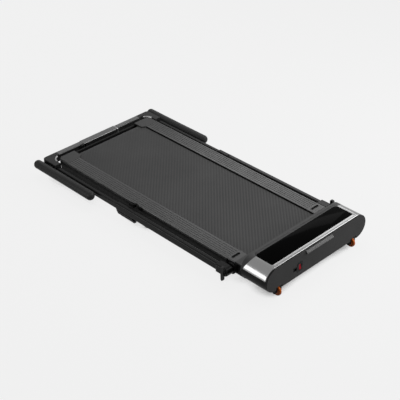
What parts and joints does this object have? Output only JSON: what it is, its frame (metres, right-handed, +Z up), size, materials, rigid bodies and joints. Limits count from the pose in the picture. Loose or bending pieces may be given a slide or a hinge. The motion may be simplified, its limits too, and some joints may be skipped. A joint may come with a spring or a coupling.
{
  "type": "walking pad",
  "caption": "Low folding walking pad: pill-shaped motor housing with display, ribbed foot rails beside the belt, and a telescoping U-shaped handrail lying flat round the deck.",
  "frame": {"origin": "middle of the bounding box, on the floor", "axes": "+Z up, +Y from the motor housing to the rear crossbar, +X to the right of a viewer at the housing looking along +Y"},
  "size_m": [0.784, 1.487, 0.163],
  "materials": {
    "cap_grey": "fine matte moulding",
    "silver": "satin silver",
    "shell_black": "matte moulding",
    "display": "gloss black",
    "red": "gloss red",
    "orange": "satin orange",
    "rail_grey": "lengthwise ribs",
    "belt_black": "fine diagonal texture",
    "foot_rubber": "matte",
    "frame_black": "powder coat",
    "wood_board": "dark film-faced board",
    "steel": "turned",
    "motor_case": "semi gloss",
    "circuit": "lacquered board",
    "sink": "extruded",
    "post_grey": "satin powder coat",
    "fitting_black": "matte moulding",
    "grip_foam": "soft matte",
    "core_metal": "tube"
  },
  "bodies": {
    "base": {"front_cap": "cap_grey", "carry_handle": "cap_grey", "upper_shell": "silver", "lower_shell": "shell_black", "rear_fairing": "shell_black", "neck_cover": "shell_black", "display_glass": "display", "power_inlet": "shell_black", "switch_bezel": "shell_black", "wheel_forks": "shell_black", "front_rail_left": "rail_grey", "front_rail_right": "rail_grey", "front_rail_caps": "rail_grey", "belt_front": "belt_black", "drive_belt": "belt_black", "base_feet": "foot_rubber", "front_beams": "frame_black", "front_cross_members": "frame_black", "pivot_brackets": "frame_black", "front_hinge_ears": "frame_black", "motor_mount": "frame_black", "front_deck_board": "wood_board", "drive_bearings": "steel", "pivot_pins": "steel", "motor": "motor_case", "control_board": "circuit", "heat_sink": "sink"},
    "rear_deck": {"rear_rail_left": "rail_grey", "rear_rail_right": "rail_grey", "belt_rear": "belt_black", "rear_feet": "foot_rubber", "rear_beams": "frame_black", "rear_cross_members": "frame_black", "rear_hinge_ears": "frame_black", "rear_deck_board": "wood_board", "idler_bearings": "steel"},
    "lower_arms": {"lower_post_left": "post_grey", "lower_post_right": "post_grey", "clamp_blocks": "fitting_black"},
    "upper_frame": {"upper_post_left": "post_grey", "upper_post_right": "post_grey", "crossbar": "post_grey", "corner_left": "fitting_black", "corner_right": "fitting_black", "console_pod": "fitting_black"},
    "grip_left_body": {"grip_left": "grip_foam", "grip_core_left": "core_metal"},
    "grip_right_body": {"grip_right": "grip_foam", "grip_core_right": "core_metal"},
    "clamp_left_body": {"clamp_lever_left": "fitting_black"},
    "clamp_right_body": {"clamp_lever_right": "fitting_black"},
    "knob_left_body": {"lock_knob_left": "fitting_black"},
    "knob_right_body": {"lock_knob_right": "fitting_black"},
    "drive_roller_body": {"drive_roller": "steel", "roller_pulley": "steel"},
    "idler_body": {"idler_roller": "steel"},
    "rotor_body": {"motor_rotor": "steel"},
    "wheel_left_body": {"wheel_left": "orange"},
    "wheel_right_body": {"wheel_right": "orange"},
    "switch_body": {"power_switch": "red"}
  },
  "joints": [
    {"name": "handrail_raise", "type": "hinge", "parent": "base", "child": "lower_arms", "pos_m": [0, -0.5165, 0.07], "axis": [-1, 0, 0], "range_deg": [-90, 0]},
    {"name": "deck_fold", "type": "hinge", "parent": "base", "child": "rear_deck", "pos_m": [0, 0.0895, 0.1033], "axis": [1, 0, 0], "range_deg": [0, 180]},
    {"name": "post_slide", "type": "slide", "parent": "lower_arms", "child": "upper_frame", "axis": [0, 1, 0], "range_m": [-0.435, 0]},
    {"name": "left_grip_swing", "type": "hinge", "parent": "upper_frame", "child": "grip_left_body", "pos_m": [-0.37, 0.7045, 0.071], "axis": [-1, 0, 0], "range_deg": [-90, 0]},
    {"name": "right_grip_swing", "type": "hinge", "parent": "upper_frame", "child": "grip_right_body", "pos_m": [0.37, 0.7045, 0.071], "axis": [-1, 0, 0], "range_deg": [-90, 0]},
    {"name": "left_clamp_open", "type": "hinge", "parent": "lower_arms", "child": "clamp_left_body", "pos_m": [-0.33, 0.0605, 0.041], "axis": [1, 0, 0], "range_deg": [-60, 0]},
    {"name": "right_clamp_open", "type": "hinge", "parent": "lower_arms", "child": "clamp_right_body", "pos_m": [0.33, 0.0605, 0.041], "axis": [1, 0, 0], "range_deg": [-60, 0]},
    {"name": "left_knob_turn", "type": "hinge", "parent": "base", "child": "knob_left_body", "pos_m": [-0.357, -0.5165, 0.07], "axis": [1, 0, 0], "range_deg": [0, 90]},
    {"name": "right_knob_turn", "type": "hinge", "parent": "base", "child": "knob_right_body", "pos_m": [0.357, -0.5165, 0.07], "axis": [1, 0, 0], "range_deg": [0, 90]},
    {"name": "drive_roller_spin", "type": "hinge", "parent": "base", "child": "drive_roller_body", "pos_m": [0, -0.5565, 0.0728], "axis": [1, 0, 0], "continuous": true},
    {"name": "idler_roller_spin", "type": "hinge", "parent": "rear_deck", "child": "idler_body", "pos_m": [0, 0.6185, 0.0728], "axis": [1, 0, 0], "continuous": true},
    {"name": "motor_spin", "type": "hinge", "parent": "base", "child": "rotor_body", "pos_m": [0, -0.6475, 0.084], "axis": [1, 0, 0], "continuous": true},
    {"name": "left_wheel_spin", "type": "hinge", "parent": "base", "child": "wheel_left_body", "pos_m": [-0.243, -0.718, 0.033], "axis": [1, 0, 0], "continuous": true},
    {"name": "right_wheel_spin", "type": "hinge", "parent": "base", "child": "wheel_right_body", "pos_m": [0.243, -0.718, 0.033], "axis": [1, 0, 0], "continuous": true},
    {"name": "switch_rock", "type": "hinge", "parent": "base", "child": "switch_body", "pos_m": [-0.118, -0.7285, 0.095], "axis": [1, 0, 0], "range_deg": [0, 16]}
  ],
  "couplings": [
    {"joint": "post_slide", "follows": "deck_fold", "m_per_rad": -0.13847},
    {"joint": "idler_roller_spin", "follows": "drive_roller_spin", "ratio": 1},
    {"joint": "motor_spin", "follows": "drive_roller_spin", "ratio": 2}
  ]
}
